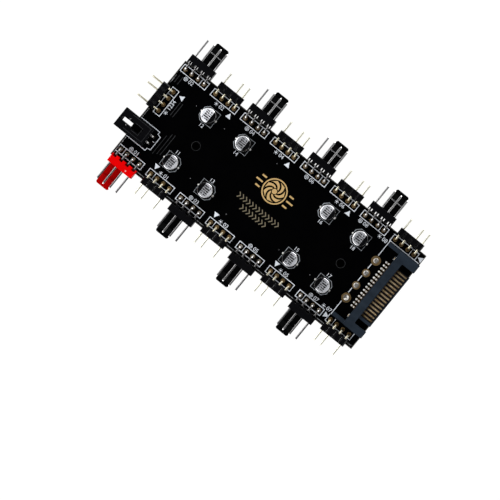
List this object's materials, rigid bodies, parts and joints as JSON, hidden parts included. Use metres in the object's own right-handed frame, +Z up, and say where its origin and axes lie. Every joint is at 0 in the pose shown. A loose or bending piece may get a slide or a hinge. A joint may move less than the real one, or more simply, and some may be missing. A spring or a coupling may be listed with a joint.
{
  "type": "pc fan controller hub",
  "caption": "Bare circuit board hub that shares power and speed signals among case fans and addressable light strips, with right-angle headers on both long edges and a power plug at one end",
  "frame": {"origin": "on the resting plane, under the middle of the whole outline", "axes": "+X along the board from the input end to the power plug, +Y across it towards the even-numbered ports, +Z up from the tails through the parts side"},
  "size_m": [0.1054, 0.0594, 0.0092],
  "materials": {
    "board": "semi-gloss black solder mask with white legend",
    "black_plastic": "satin moulded black",
    "red_plastic": "satin moulded red",
    "slate_plastic": "satin moulded slate blue",
    "tin": "bright tin plate",
    "gold": "thin gold plate",
    "can": "drawn, matt, with a printed top",
    "base": "moulded black"
  },
  "bodies": {
    "root": {"circuit_board": "board", "fan_header_1_housing": "red_plastic", "fan_header_1_pins": "tin", "led_header_1_housing": "black_plastic", "led_header_1_pins": "gold", "capacitor_1_can": "can", "capacitor_1_base": "base", "fan_header_2_housing": "black_plastic", "fan_header_2_pins": "tin", "led_header_2_housing": "black_plastic", "led_header_2_pins": "gold", "capacitor_2_can": "can", "capacitor_2_base": "base", "fan_header_3_housing": "black_plastic", "fan_header_3_pins": "tin", "led_header_3_housing": "black_plastic", "led_header_3_pins": "gold", "capacitor_3_can": "can", "capacitor_3_base": "base", "fan_header_4_housing": "black_plastic", "fan_header_4_pins": "tin", "led_header_4_housing": "black_plastic", "led_header_4_pins": "gold", "capacitor_4_can": "can", "capacitor_4_base": "base", "fan_header_5_housing": "black_plastic", "fan_header_5_pins": "tin", "led_header_5_housing": "black_plastic", "led_header_5_pins": "gold", "capacitor_5_can": "can", "capacitor_5_base": "base", "fan_header_6_housing": "black_plastic", "fan_header_6_pins": "tin", "led_header_6_housing": "black_plastic", "led_header_6_pins": "gold", "capacitor_6_can": "can", "capacitor_6_base": "base", "fan_header_7_housing": "black_plastic", "fan_header_7_pins": "tin", "led_header_7_housing": "black_plastic", "led_header_7_pins": "gold", "capacitor_7_can": "can", "capacitor_7_base": "base", "fan_header_8_housing": "black_plastic", "fan_header_8_pins": "tin", "led_header_8_housing": "black_plastic", "led_header_8_pins": "gold", "capacitor_8_can": "can", "capacitor_8_base": "base", "led_input_housing": "black_plastic", "led_input_pins": "gold", "signal_socket_housing": "black_plastic", "signal_socket_pins": "tin", "power_plug_housing": "slate_plastic", "power_plug_contacts": "gold", "power_plug_hold_downs": "tin", "capacitor_leads": "tin"}
  },
  "joints": []
}
